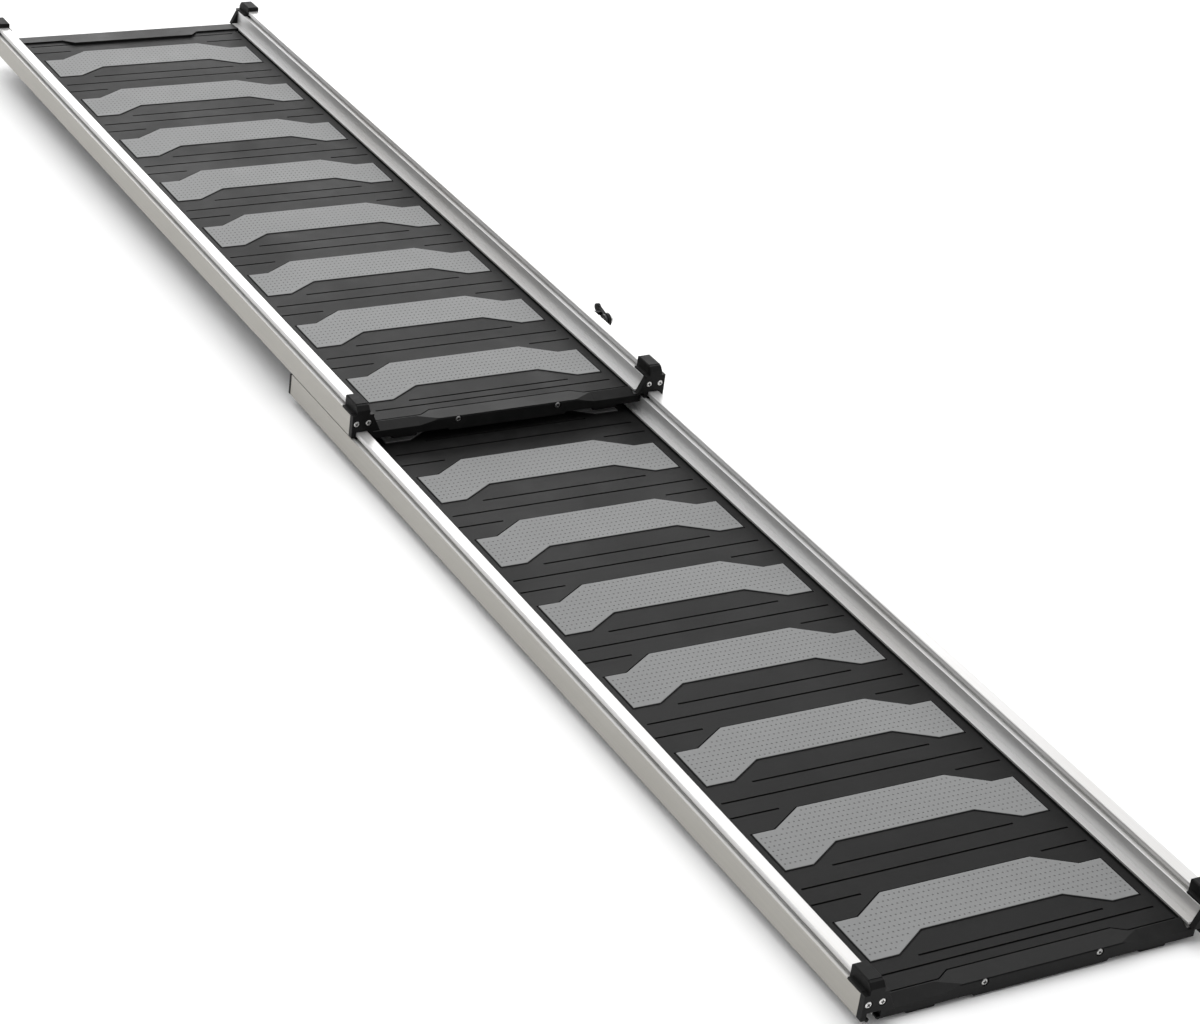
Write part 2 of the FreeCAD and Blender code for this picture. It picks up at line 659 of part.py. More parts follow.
def latch_lever():
    """Lever with a round hub, a finger knob and a tooth that reaches in over the upper rail's bead."""
    y = SECTION_LENGTH - PIVOT_INSET
    z = PIVOT_HEIGHT
    x0 = lever_inner_x()
    x1 = x0 + LEVER_THICK
    hub = rod_x(HUB_RADIUS, y, z, x0, x1)
    ahead, above, radius = KNOB
    length = math.hypot(ahead, above)
    ux, uz = ahead / length, above / length
    start, finish = ARM_HALF
    arm = prism_along_x([(y - uz * start, z + ux * start), (y + uz * start, z - ux * start),
                         (y + ahead + uz * finish, z + above - ux * finish),
                         (y + ahead - uz * finish, z + above + ux * finish)], x0, x1)
    knob = rod_x(radius, y + ahead, z + above, x0, x1)
    tooth = box(TOOTH_TIP_X, x0 + 1, y + TOOTH[0], y + TOOTH[1], z + TOOTH[2], z + TOOTH[3])
    lever = fuse([hub, arm, knob, tooth])
    edges = [e for e in lever.Edges if e.Curve.TypeId == "Part::GeomCircle" and e.Curve.Radius > 4
             and e.BoundBox.XMin > x1 - 0.01]
    lever = lever.makeChamfer(0.7, edges)
    return lever.cut(rod_x(LEVER_BORE, y, z, x0 - 1, x1 + 1))


def latch_washer():
    """Dished spring washer that presses on the lever's hub and holds it where it is put."""
    y = SECTION_LENGTH - PIVOT_INSET
    tip = lever_inner_x() + LEVER_THICK + 1.7
    outer = Part.makeCone(4.2, 6.5, 1.0, V(tip, y, PIVOT_HEIGHT), V(-1, 0, 0))
    inner = Part.makeCone(4.2, 6.5, 1.0, V(tip - 0.6, y, PIVOT_HEIGHT), V(-1, 0, 0))
    return outer.cut(inner).cut(rod_x(PIN_RADIUS + 0.1, y, PIVOT_HEIGHT, tip - 3, tip + 1))


def latch_pin():
    """Headed pin pressed in the bracket."""
    y = SECTION_LENGTH - PIVOT_INSET
    end = lever_inner_x() + LEVER_THICK + 1.75
    shaft = rod_x(PIN_RADIUS, y, PIVOT_HEIGHT, RAIL_OUTER_X + PLATE_RELIEF + 0.1, end + 0.5)
    head = rod_x(5.0, y, PIVOT_HEIGHT, end, end + 1.8)
    rim = [e for e in head.Edges if e.BoundBox.XMin > end + 1.79]
    return shaft.fuse(head.makeFillet(0.8, rim)).removeSplitter()


def latch_screws():
    screws = []
    for inset in BRACKET_SCREWS_Y:
        screw = pan_head_screw(0, 0, 0, PLATE_THICK + WALL - 0.1)
        screw.rotate(V(0, 0, 0), V(0, 0, 1), 90)
        screw.translate(V(RAIL_OUTER_X + PLATE_THICK, SECTION_LENGTH - inset, BRACKET_SCREW_HEIGHT))
        screws.append(screw)
    return group(screws)


# ---------------------------------------------------------------- assembly

def section_pieces(section):
    """The pieces both sections have."""
    lower = section == "lower"
    pieces = {"deck": deck_panel()}
    for index in range(INSERT_COUNT):
        pieces["grip_%d" % (index + 1)] = grip_insert(index)
    pieces["strip_foot"] = foot_strip()
    pieces["strip_head"] = head_strip()
    pieces["strip_screws"] = strip_screws()
    pieces["cap_screws"] = cap_screws(section)
    pieces["feet"] = feet()
    foot_cap = cap(CAP_THICK, True)
    head_cap = cap(CAP_THIN, False) if lower else foot_cap
    pieces["cap_foot_right"] = foot_cap
    pieces["cap_foot_left"] = flip(foot_cap)
    pieces["cap_head_right"] = turned(flip(head_cap))
    pieces["cap_head_left"] = turned(head_cap)
    block = bumper_block()
    pieces["block_foot_right"] = block
    pieces["block_foot_left"] = flip(block)
    if not lower:
        pieces["block_head_right"] = turned(flip(block))
        pieces["block_head_left"] = turned(block)
    return pieces


def all_pieces():
    out = {}
    lower = section_pieces("lower")
    lower["rail_left"] = flip(lower_rail())
    lower["rail_right"] = lower_right_rail()
    lower["stop_screws"] = stop_screws()
    upper = section_pieces("upper")
    upper["rail_left"] = flip(plain_rail())
    upper["rail_right"] = upper_right_rail()
    upper["stop_right"] = stop_block()
    upper["stop_left"] = flip(stop_block())
    for section, pieces in (("lower", lower), ("upper", upper)):
        for name, shape in pieces.items():
            out[section + "_" + name] = placed(shape, section)
    latch = {"bracket": latch_bracket(), "lever": latch_lever(), "pin": latch_pin(),
             "washer": latch_washer(), "screws": latch_screws()}
    for name, shape in latch.items():
        out["latch_" + name] = placed(shape, "lower")
    return out


os.makedirs("parts", exist_ok=True)
for node, solid in sorted(all_pieces().items()):
    solid.exportStep("parts/%s.step" % node)
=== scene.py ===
"""Looks of the telescoping dog ramp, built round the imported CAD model. Units are metres."""
import bmesh
import bpy
import json
import math
import random
from mathutils import Matrix, Vector
from mathutils.geometry import delaunay_2d_cdt


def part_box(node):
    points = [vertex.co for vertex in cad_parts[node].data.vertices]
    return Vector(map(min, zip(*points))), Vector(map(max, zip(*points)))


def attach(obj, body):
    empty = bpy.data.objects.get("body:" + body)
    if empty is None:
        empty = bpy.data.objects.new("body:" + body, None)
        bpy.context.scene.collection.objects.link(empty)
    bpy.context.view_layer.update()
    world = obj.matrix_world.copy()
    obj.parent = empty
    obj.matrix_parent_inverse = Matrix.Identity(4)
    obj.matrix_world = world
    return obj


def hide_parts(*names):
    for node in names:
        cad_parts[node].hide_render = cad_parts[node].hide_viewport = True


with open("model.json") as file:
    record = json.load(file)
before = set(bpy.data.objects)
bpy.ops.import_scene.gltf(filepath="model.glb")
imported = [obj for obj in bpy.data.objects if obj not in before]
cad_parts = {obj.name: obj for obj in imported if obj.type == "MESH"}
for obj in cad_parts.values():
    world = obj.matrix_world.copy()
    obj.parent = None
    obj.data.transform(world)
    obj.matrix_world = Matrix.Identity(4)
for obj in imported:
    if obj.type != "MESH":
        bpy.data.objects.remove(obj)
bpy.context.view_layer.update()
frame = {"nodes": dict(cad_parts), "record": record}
rng = random.Random(11)

# ---- view
CAMERA_PLACE = (-1.57882, -2.75656, 1.61878)
CAMERA_LOOK = (0.474753, 0.739170, -0.477741)
CAMERA_UP = (0.138420, 0.473350, 0.869931)
CAMERA_LENS = 91.774
SENSOR_WIDTH = 36.0
FLOOR_HALF_WIDTH = 40.0

# ---- grip inserts
DIMPLE_PITCH_X = 0.0056
DIMPLE_PITCH_Y = 0.0070
DIMPLE_RADIUS = 0.00110
DIMPLE_DEPTH = 0.0008
DIMPLE_SIDES = 10
DIMPLE_MARGIN = 0.0030
DIMPLE_FIRST_ROW = 0.0053                  # from the insert's upper edge
BOWL_WAIST = (0.62, 0.75)                  # share of the radius and of the depth, at the bend of the wall
GRIP_ROUND = 0.0005
GRIP_ROUND_STEP = 0.3                      # share of the rounding, at the middle of its two facets

# ---- screw heads, from the centre line
RIM_RADIUS = 0.0037
SHOULDER_RADIUS = 0.0033
DOME_RADIUS = 0.0027
SHANK_RADIUS = 0.0018
HEAD_SIDES = 32
CROSS = ((0.0021, 0.00055), (0.0013, 0.00028))    # arm length and half width, at top and bottom
CROSS_DEPTH = 0.0013
DOME_FALL = (0.42, 2.6)                    # share of the head's height lost at the rim, and its power
RIM_HEIGHT = 0.38                          # share of the head's height
TIP_LENGTH = 0.0008
TIP_RADIUS = 0.55                          # share of the shank's

# ---- meshes
WELD_DISTANCE = 2e-6
FLAT_ANGLE = math.radians(0.5)
SHARP_ANGLE = math.radians(32)
SOFT_EDGES = {"_block_": 0.0010, "_cap_f": 0.00035, "_cap_h": 0.00035, "_strip_foot": 0.0005,
              "_strip_head": 0.0005, "latch_lever": 0.0005, "latch_bracket": 0.0003, "_feet": 0.0004}

# ---- the rails' outer faces, which carry painted shade, as distances from the ramp's centre plane
SHADED_OUTER_FACE = (0.1985, 0.1995)

# ---- light
SURROUND_WAY = (0.30, 0.70, 0.55)          # the side on which the surround is brightest
SURROUND_SPAN = (("From Min", -0.45), ("From Max", 0.75), ("To Min", 0.36), ("To Max", 1.10))
AREA_LIGHTS = (                            # name, place, aim, size, power
    ("overhead", (-0.4, 0.2, 4.2), (0.0, 0.0, 0.0), (4.5, 5.5), 100.0),
    ("far_box", (1.9, 4.2, 1.9), (0.2, 0.8, 0.0), (3.5, 2.4), 70.0),
)


# ------------------------------------------------------------------ materials

class Finish:
    """A material with one Principled shader, and short calls for the nodes that drive it."""

    def __init__(self, name):
        self.material = bpy.data.materials.new(name)
        self.material.use_nodes = True
        self.tree = self.material.node_tree
        self.tree.nodes.clear()
        self.shader = self.node("ShaderNodeBsdfPrincipled")
        out = self.node("ShaderNodeOutputMaterial")
        self.tree.links.new(self.shader.outputs[0], out.inputs["Surface"])
        self.place = self.node("ShaderNodeTexCoord").outputs["Object"]

    def node(self, kind, **settings):
        made = self.tree.nodes.new(kind)
        for key, value in settings.items():
            setattr(made, key, value)
        return made

    def put(self, node, socket, value):
        target = node.inputs[socket]
        if isinstance(value, bpy.types.NodeSocket):
            self.tree.links.new(value, target)
        else:
            target.default_value = value

    def set(self, **values):
        for key, value in values.items():
            self.put(self.shader, key.replace("_", " "), value)

    def stretched(self, scale, turn=(0.0, 0.0, 0.0)):
        mapping = self.node("ShaderNodeMapping")
        self.put(mapping, "Vector", self.place)
        mapping.inputs["Scale"].default_value = scale
        mapping.inputs["Rotation"].default_value = turn
        return mapping.outputs[0]

    def noise(self, scale, stretch=None, detail=3.0, rough=0.55, bend=0.0, turn=(0.0, 0.0, 0.0)):
        made = self.node("ShaderNodeTexNoise")
        self.put(made, "Vector", self.stretched(stretch, turn) if stretch else self.place)
        self.put(made, "Scale", scale)
        self.put(made, "Detail", detail)
        self.put(made, "Roughness", rough)
        self.put(made, "Distortion", bend)
        return made.outputs[0]

    def cells(self, scale, stretch=None, feature="F1"):
        made = self.node("ShaderNodeTexVoronoi", feature=feature)
        self.put(made, "Vector", self.stretched(stretch) if stretch else self.place)
        self.put(made, "Scale", scale)
        return made.outputs["Distance"]

    def span(self, value, low, high, to_low=0.0, to_high=1.0):
        made = self.node("ShaderNodeMapRange")
        self.put(made, "Value", value)
        ends = {"From Min": low, "From Max": high, "To Min": to_low, "To Max": to_high}
        for socket, number in ends.items():
            self.put(made, socket, number)
        return made.outputs[0]

    def sum(self, *parts, operation="ADD"):
        total = parts[0]
        for part in parts[1:]:
            made = self.node("ShaderNodeMath", operation=operation)
            self.put(made, 0, total)
            self.put(made, 1, part)
            total = made.outputs[0]
        return total

    def mix(self, factor, first, second):
        made = self.node("ShaderNodeMix", data_type="RGBA")
        self.put(made, 0, factor)
        self.put(made, 6, first)
        self.put(made, 7, second)
        return made.outputs[2]

    def bump(self, height, strength, distance, normal=None):
        made = self.node("ShaderNodeBump")
        self.put(made, "Height", height)
        self.put(made, "Strength", strength)
        self.put(made, "Distance", distance)
        if normal:
            self.put(made, "Normal", normal)
        return made.outputs[0]


def rgb(level, tint=(1.0, 1.0, 1.0)):
    """A grey of one level, with a tint on its three channels."""
    return (level * tint[0], level * tint[1], level * tint[2], 1.0)


def anodised_aluminium():
    """Satin anodised extrusion: fine die lines along its length, and a rougher outer face with painted shade
    that makes it darker and warmer.
    """
    f = Finish("anodised_aluminium")
    die_lines = f.noise(1.0, (900.0, 2.5, 900.0), detail=4.0, rough=0.6)
    patches = f.noise(9.0, (1.0, 0.35, 1.0), detail=3.0)
    grain = f.noise(2600.0, detail=2.0)
    rubs = f.span(f.noise(1.0, (55.0, 3.0, 55.0), detail=6.0, rough=0.75, bend=0.4), 0.62, 0.76)
    apart = f.node("ShaderNodeSeparateXYZ")
    f.put(apart, 0, f.place)
    across = f.sum(apart.outputs[0], 0.0, operation="ABSOLUTE")
    # mask of the rails' outer faces, which get a rougher finish and painted shade
    outer = f.span(across, *SHADED_OUTER_FACE)
    uneven = f.span(f.sum(die_lines, patches), 0.8, 1.2)
    base = f.mix(uneven, rgb(0.62, (1.0, 0.985, 0.965)), rgb(0.67))
    # painted shade: the darker, warmer colour of the outer faces
    outer_face_shade = f.mix(uneven, rgb(0.375, (1.0, 0.965, 0.89)), rgb(0.415, (1.0, 0.97, 0.90)))
    base = f.mix(outer, base, outer_face_shade)
    base = f.mix(f.sum(rubs, 0.10, operation="MULTIPLY"), base, rgb(0.80))
    rough = f.sum(f.span(die_lines, 0.3, 0.7, 0.36, 0.42), f.span(patches, 0.3, 0.7, -0.02, 0.03),
                  f.span(rubs, 0.0, 1.0, 0.0, -0.05), f.span(outer, 0.0, 1.0, 0.0, 0.12))
    f.set(Base_Color=base, Metallic=0.62, Roughness=rough, Specular_IOR_Level=0.3)
    lines = f.bump(die_lines, 0.10, 0.00004)
    f.set(Normal=f.bump(grain, 0.08, 0.00003, lines))
    return f.material


def moulded_plastic(name, level, rough_low, rough_high, specular, grain_scale=1500.0, scuff=0.5, dust=0.4):
    """Black moulded plastic with a fine spark-eroded grain, slow gloss changes, scuffs and a little dust."""
    f = Finish(name)
    grain = f.cells(grain_scale)
    fine = f.noise(grain_scale * 1.7, detail=2.0)
    slow = f.noise(7.0, detail=3.0, bend=0.6)
    middle = f.noise(60.0, detail=4.0, rough=0.6)
    scratches = f.span(f.noise(1.0, (26.0, 150.0, 150.0), detail=5.0, rough=0.8, bend=0.8,
                               turn=(0.0, 0.0, 1.15)), 0.64, 0.75)
    paws = f.span(f.noise(1.0, (140.0, 18.0, 140.0), detail=5.0, rough=0.85, bend=1.0,
                          turn=(0.0, 0.0, 0.3)), 0.66, 0.76)
    marks = f.sum(f.sum(scratches, paws), scuff, operation="MULTIPLY")
    powder = f.sum(f.span(f.sum(slow, middle), 0.95, 1.35), dust, operation="MULTIPLY")
    base = f.mix(f.span(middle, 0.3, 0.7), rgb(level * 0.85), rgb(level * 1.15))
    base = f.mix(f.sum(powder, 0.05, operation="MULTIPLY"), base, rgb(0.12, (1.0, 0.98, 0.95)))
    base = f.mix(f.sum(marks, 0.12, operation="MULTIPLY"), base, rgb(0.09))
    rough = f.sum(f.span(slow, 0.3, 0.7, rough_low, rough_high), f.span(middle, 0.3, 0.7, -0.03, 0.03),
                  f.sum(marks, -0.08, operation="MULTIPLY"))
    f.set(Base_Color=base, Roughness=rough, Specular_IOR_Level=specular)
    deep = f.bump(grain, 0.22, 0.00012)
    f.set(Normal=f.bump(f.sum(fine, f.sum(marks, -0.5, operation="MULTIPLY")), 0.15, 0.00008, deep))
    return f.material


def soft_grip(name, level, darkening):
    """Grey soft-touch rubber, a little mottled, and darker by a given share; on the inserts' side walls that
    darkening is painted shade.
    """
    f = Finish(name)
    mottle = f.noise(38.0, detail=4.0, rough=0.6)
    slow = f.noise(5.0, detail=2.0)
    fine = f.noise(1900.0, detail=3.0)
    specks = f.span(f.noise(420.0, detail=3.0, rough=0.7), 0.63, 0.72)
    tint = (0.985, 1.0, 1.0)
    base = f.mix(f.span(f.sum(mottle, slow), 0.75, 1.25), rgb(level * 0.93, tint), rgb(level * 1.07, tint))
    base = f.mix(f.sum(specks, 0.25, operation="MULTIPLY"), base, rgb(level * 0.6))
    # darker by the given share: more in the dimples, and painted shade on the side walls
    base = f.mix(darkening, base, rgb(level * 0.25, (1.0, 0.98, 0.95)))
    f.set(Base_Color=base, Roughness=f.span(mottle, 0.3, 0.7, 0.58, 0.72), Specular_IOR_Level=0.35,
          Sheen_Weight=0.08, Sheen_Roughness=0.5)
    f.set(Normal=f.bump(fine, 0.25, 0.00008))
    return f.material


def rubber(name, level, specular=0.3):
    """Matte black rubber with a fine bloom and a few rubbed patches."""
    f = Finish(name)
    bloom = f.noise(120.0, detail=4.0, rough=0.65)
    rubbed = f.span(f.noise(45.0, detail=5.0, rough=0.8, bend=0.8), 0.58, 0.72)
    fine = f.noise(2200.0, detail=3.0)
    base = f.mix(f.span(bloom, 0.3, 0.7), rgb(level * 0.8), rgb(level * 1.3))
    base = f.mix(f.sum(rubbed, 0.2, operation="MULTIPLY"), base, rgb(0.04))
    rough = f.sum(f.span(bloom, 0.3, 0.7, 0.52, 0.66), f.span(rubbed, 0.0, 1.0, 0.0, -0.1))
    f.set(Base_Color=base, Roughness=rough, Specular_IOR_Level=specular)
    f.set(Normal=f.bump(f.sum(fine, bloom), 0.25, 0.00010))
    return f.material


def plated_steel(name, level, rough):
    """Zinc-plated steel with fine turning marks."""
    f = Finish(name)
    turning = f.noise(1.0, (3000.0, 400.0, 3000.0), detail=3.0)
    patches = f.noise(400.0, detail=3.0)
    base = f.mix(f.span(patches, 0.3, 0.7), rgb(level * 0.92, (1.0, 0.99, 0.96)), rgb(level))
    f.set(Base_Color=base, Metallic=1.0, Roughness=f.span(turning, 0.3, 0.7, rough - 0.06, rough + 0.08))
    f.set(Normal=f.bump(turning, 0.12, 0.00003))
    return f.material


def powder_coat():
    """Black powder coat with its fine orange peel."""
    f = Finish("powder_coat")
    peel = f.cells(700.0, feature="SMOOTH_F1")
    fine = f.noise(1800.0, detail=2.0)
    wear = f.span(f.noise(160.0, detail=5.0, rough=0.8), 0.64, 0.74)
    base = f.mix(f.sum(wear, 0.35, operation="MULTIPLY"), rgb(0.022), rgb(0.09))
    f.set(Base_Color=base, Roughness=f.span(f.sum(peel, wear), 0.2, 1.2, 0.38, 0.50))
    f.set(Normal=f.bump(f.sum(peel, fine), 0.25, 0.00008))
    return f.material


ALUMINIUM = anodised_aluminium()
DECK = moulded_plastic("deck_plastic", 0.0085, 0.46, 0.56, 0.08)
STRIP = moulded_plastic("strip_plastic", 0.0095, 0.44, 0.54, 0.10)
CAP = moulded_plastic("cap_plastic", 0.007, 0.42, 0.52, 0.10, scuff=0.7, dust=0.2)
STOP = moulded_plastic("stop_plastic", 0.02, 0.4, 0.5, 0.2, scuff=1.0)
LEVER = moulded_plastic("latch_plastic", 0.008, 0.40, 0.50, 0.15, scuff=0.6, dust=0.2)
GRIP = soft_grip("soft_grip", 0.195, 0.03)
GRIP_DIMPLE = soft_grip("soft_grip_dimple", 0.185, 0.35)
# the inserts' side walls are near-black: painted shade of the groove round each insert
GRIP_SIDE_SHADE = soft_grip("soft_grip_side_shade", 0.030, 0.2)
BUMPER = rubber("bumper_rubber", 0.008, 0.12)
FOOT = rubber("foot_rubber", 0.010, 0.12)
SCREW = plated_steel("screw_steel", 0.72, 0.26)
# strip screws: rougher steel, and darker as painted shade of the holes they sit in
DULL_SHADED_SCREW = plated_steel("screw_steel_dull_shaded", 0.50, 0.34)
# the cross recess is near-black steel: painted shade inside the recess
RECESS_SHADE = plated_steel("screw_recess_shade", 0.05, 0.45)
PIN = plated_steel("pin_steel", 0.60, 0.28)
BRACKET = powder_coat()

BY_SLOT = {"rail_aluminium": ALUMINIUM, "deck_plastic": DECK, "grip_rubber": GRIP, "strip_plastic": STRIP,
           "cap_plastic": CAP, "bumper_rubber": BUMPER, "foot_rubber": FOOT, "screw_steel": SCREW,
           "stop_plastic": STOP, "latch_plastic": LEVER, "bracket_paint": BRACKET, "pin_steel": PIN}
SLOT_OF = {part["node"]: part["material_slot"] for part in frame["record"]["subparts"]}
BODY_OF = {node: body for body, nodes in frame["record"]["behaviour"]["bodies"].items() for node in nodes}


# ------------------------------------------------------------------ mesh help

def new_piece(name, mesh, node, materials):
    """A finished piece that stands for a CAD node and rides on its body."""
    piece = bpy.data.objects.new(name, mesh)
    bpy.context.scene.collection.objects.link(piece)
    for material in materials:
        mesh.materials.append(material)
    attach(piece, BODY_OF[node])
    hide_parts(node)
    return piece


def welded(node):
    """The node's mesh as a bmesh, with its seams joined and its flat faces merged."""
    bm = bmesh.new()
    bm.from_mesh(frame["nodes"][node].data)
    bmesh.ops.remove_doubles(bm, verts=bm.verts, dist=WELD_DISTANCE)
    bmesh.ops.dissolve_limit(bm, angle_limit=FLAT_ANGLE, verts=bm.verts, edges=bm.edges)
    return bm


def top_loop(node):
    """The corners of the node's top face, in order, and its height."""
    bm = welded(node)
    bm.verts.index_update()
    bm.verts.ensure_lookup_table()
    height = max(v.co.z for v in bm.verts)
    faces = [f for f in bm.faces if f.normal.z > 0.99 and abs(f.calc_center_median().z - height) < 1e-5]
    edges = [e for f in faces for e in f.edges if sum(g in faces for g in e.link_faces) == 1]
    follow = {}
    for edge in edges:
        for one, two in (edge.verts, reversed(edge.verts)):
            follow.setdefault(one.index, []).append(two.index)
    start = edges[0].verts[0].index
    order = [start]
    before = None
    while True:
        step = [i for i in follow[order[-1]] if i != before]
        if not step or step[0] == start:
            break
        before = order[-1]
        order.append(step[0])
    points = [Vector(bm.verts[i].co[:2]) for i in order]
    bm.free()
    return clean_loop(points), height


def clean_loop(points):
    """Without points that lie on a straight run, and turning left."""
    kept = []
    count = len(points)
    for i, point in enumerate(points):
        back, ahead = points[i - 1], points[(i + 1) % count]
        one, two = (point - back).normalized(), (ahead - point).normalized()
        if abs(one.cross(two)) > 1e-3:
            kept.append(point)
    area = sum(kept[i - 1].cross(kept[i]) for i in range(len(kept)))
    return kept if area > 0 else kept[::-1]


def inset(points, distance):
    """The loop moved inwards by a distance."""
    moved = []
    count = len(points)
    for i, point in enumerate(points):
        one = (point - points[i - 1]).normalized()
        two = (points[(i + 1) % count] - point).normalized()
        left_one, left_two = Vector((-one.y, one.x)), Vector((-two.y, two.x))
        middle = (left_one + left_two).normalized()
        moved.append(point + middle * (distance / max(0.3, middle.dot(left_one))))
    return moved


def inside(point, loop, margin):
    """Whether a point lies inside a loop and at least a margin from its edges."""
    crossings = False
    near = 1.0
    for i, two in enumerate(loop):
        one = loop[i - 1]
        if (one.y > point.y) != (two.y > point.y):
            if point.x < (two.x - one.x) * (point.y - one.y) / (two.y - one.y) + one.x:
                crossings = not crossings
        along = two - one
        t = max(0.0, min(1.0, (point - one).dot(along) / along.length_squared))
        near = min(near, (one + along * t - point).length)
    return crossings and near > margin


# ------------------------------------------------------------------ grip inserts

def dimple_centres(loop):
    """Centres of the regular grid of dimples that fit inside an insert's outline."""
    low = Vector((min(p.x for p in loop), min(p.y for p in loop)))
    high = Vector((max(p.x for p in loop), max(p.y for p in loop)))
    centres = []
    rows = int((high.y - low.y) / DIMPLE_PITCH_Y)
    half = int((high.x - low.x) / 2 / DIMPLE_PITCH_X)
    for row in range(rows + 1):
        for column in range(-half, half + 1):
            centre = Vector(((low.x + high.x) / 2 + column * DIMPLE_PITCH_X,
                             high.y - DIMPLE_FIRST_ROW - row * DIMPLE_PITCH_Y))
            if inside(centre, loop, DIMPLE_MARGIN):
                centres.append(centre)
    return centres


def ring(centre, radius, sides):
    """Points evenly round a circle."""
    return [centre + Vector((math.cos(2 * math.pi * i / sides), math.sin(2 * math.pi * i / sides))) * radius
            for i in range(sides)]


def grip_mesh(name, node):
    """The insert with rounded edges and a regular grid of small bowls in its top."""
    loop, top = top_loop(node)
    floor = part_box(node)[0].z
    edge = inset(loop, GRIP_ROUND)
    middle = inset(loop, GRIP_ROUND * GRIP_ROUND_STEP)
    centres = dimple_centres(edge)
    flat = list(edge)
    outlines = [list(range(len(edge)))]
    for centre in centres:
        start = len(flat)
        flat += ring(centre, DIMPLE_RADIUS, DIMPLE_SIDES)
        outlines.append(list(range(start, start + DIMPLE_SIDES)))
    spots, _, faces, _, _, owners = delaunay_2d_cdt(flat, [], outlines, 1, 1e-7)
    bm = bmesh.new()
    top_verts = [bm.verts.new((p.x, p.y, top)) for p in spots]
    for face, owner in zip(faces, owners):
        if owner == [0]:
            made = bm.faces.new([top_verts[i] for i in face])
            if made.normal.z < 0:
                made.normal_flip()
    key = {(round(p.x, 6), round(p.y, 6)): v for p, v in zip(spots, top_verts)}

    def at(p):
        return key[(round(p.x, 6), round(p.y, 6))]

    for centre in centres:
        rim = [at(p) for p in ring(centre, DIMPLE_RADIUS, DIMPLE_SIDES)]
        wall = [bm.verts.new((p.x, p.y, top - DIMPLE_DEPTH * BOWL_WAIST[1]))
                for p in ring(centre, DIMPLE_RADIUS * BOWL_WAIST[0], DIMPLE_SIDES)]
        bottom = bm.verts.new((centre.x, centre.y, top - DIMPLE_DEPTH))
        for i in range(DIMPLE_SIDES):
            j = (i + 1) % DIMPLE_SIDES
            for corners in ((rim[i], rim[j], wall[j], wall[i]), (wall[i], wall[j], bottom)):
                face = bm.faces.new(corners)
                face.material_index = 1
                face.smooth = True
    levels = [[at(p) for p in edge]]
    for points, height in ((middle, top - GRIP_ROUND * GRIP_ROUND_STEP), (loop, top - GRIP_ROUND),
                           (loop, floor)):
        levels.append([bm.verts.new((p.x, p.y, height)) for p in points])
    for level, (upper, lower) in enumerate(zip(levels, levels[1:])):
        for i in range(len(loop)):
            j = (i + 1) % len(loop)
            face = bm.faces.new((upper[j], upper[i], lower[i], lower[j]))
            # the side walls below the rounding take the third material, whose near-black colour is painted
            # shade
            face.material_index = 2 if level == 2 else 0
    bm.faces.new(levels[-1][::-1])
    bmesh.ops.recalc_face_normals(bm, faces=bm.faces)
    mesh = bpy.data.meshes.new(name)
    bm.to_mesh(mesh)
    bm.free()
    return mesh


def build_grips():
    for node in sorted(n for n in frame["nodes"] if "_grip_" in n):
        name = "soft_" + node
        new_piece(name, grip_mesh(name, node), node, (GRIP, GRIP_DIMPLE, GRIP_SIDE_SHADE))


# ------------------------------------------------------------------ screws

def cross_outline(size):
    """Corners of a cross recess round the origin."""
    arm, half = size
    quarter = [Vector((arm, -half)), Vector((arm, half)), Vector((half, half))]
    points = []
    for turn in range(4):
        angle = math.pi / 2 * turn
        c, s = math.cos(angle), math.sin(angle)
        points += [Vector((p.x * c - p.y * s, p.x * s + p.y * c)) for p in quarter]
    return points


def dome_height(radius, high):
    """Height of the domed top above the seat, at a distance from the centre line."""
    part = min(1.0, radius / RIM_RADIUS)
    return high * (1.0 - DOME_FALL[0] * part ** DOME_FALL[1])


def screw_mesh(bm, place, turn, high, shank):
    """Add one pan-head screw, drawn with its seat at the origin and its head along +z, then placed."""
    outer = cross_outline(CROSS[0])
    flat = ring(Vector((0, 0)), SHOULDER_RADIUS, HEAD_SIDES)
    count = len(flat)
    flat += outer
    flat += ring(Vector((0, 0)), DOME_RADIUS, HEAD_SIDES)
    loops = [list(range(count)), list(range(count, count + len(outer)))]
    spots, _, faces, origins, _, owners = delaunay_2d_cdt(flat, [], loops, 1, 1e-8)
    made = [bm.verts.new(place + turn @ Vector((p.x, p.y, dome_height(p.length, high)))) for p in spots]
    for face, owner in zip(faces, owners):
        if owner == [0]:
            new = bm.faces.new([made[i] for i in face])
            new.smooth = True
    at = {}
    for index, sources in enumerate(origins):
        for source in sources:
            at[source] = made[index]
    rim = [at[i] for i in range(count)]
    cross = [at[count + i] for i in range(len(outer))]
    low = [bm.verts.new(place + turn @ Vector((p.x, p.y, high - CROSS_DEPTH)))
           for p in cross_outline(CROSS[1])]
    # the recess walls and floor take the second material, which is painted shade
    for i in range(len(cross)):
        j = (i + 1) % len(cross)
        bm.faces.new((cross[i], cross[j], low[j], low[i])).material_index = 1
    bm.faces.new(low).material_index = 1
    for radius, height in ((RIM_RADIUS, high * RIM_HEIGHT), (RIM_RADIUS, 0.0), (SHANK_RADIUS, 0.0),
                           (SHANK_RADIUS, TIP_LENGTH - shank), (SHANK_RADIUS * TIP_RADIUS, -shank)):
        lower = [bm.verts.new(place + turn @ Vector((p.x, p.y, height)))
                 for p in ring(Vector((0, 0)), radius, HEAD_SIDES)]
        for i in range(count):
            j = (i + 1) % count
            bm.faces.new((rim[j], rim[i], lower[i], lower[j])).smooth = True
        rim = lower
    bm.faces.new(rim)


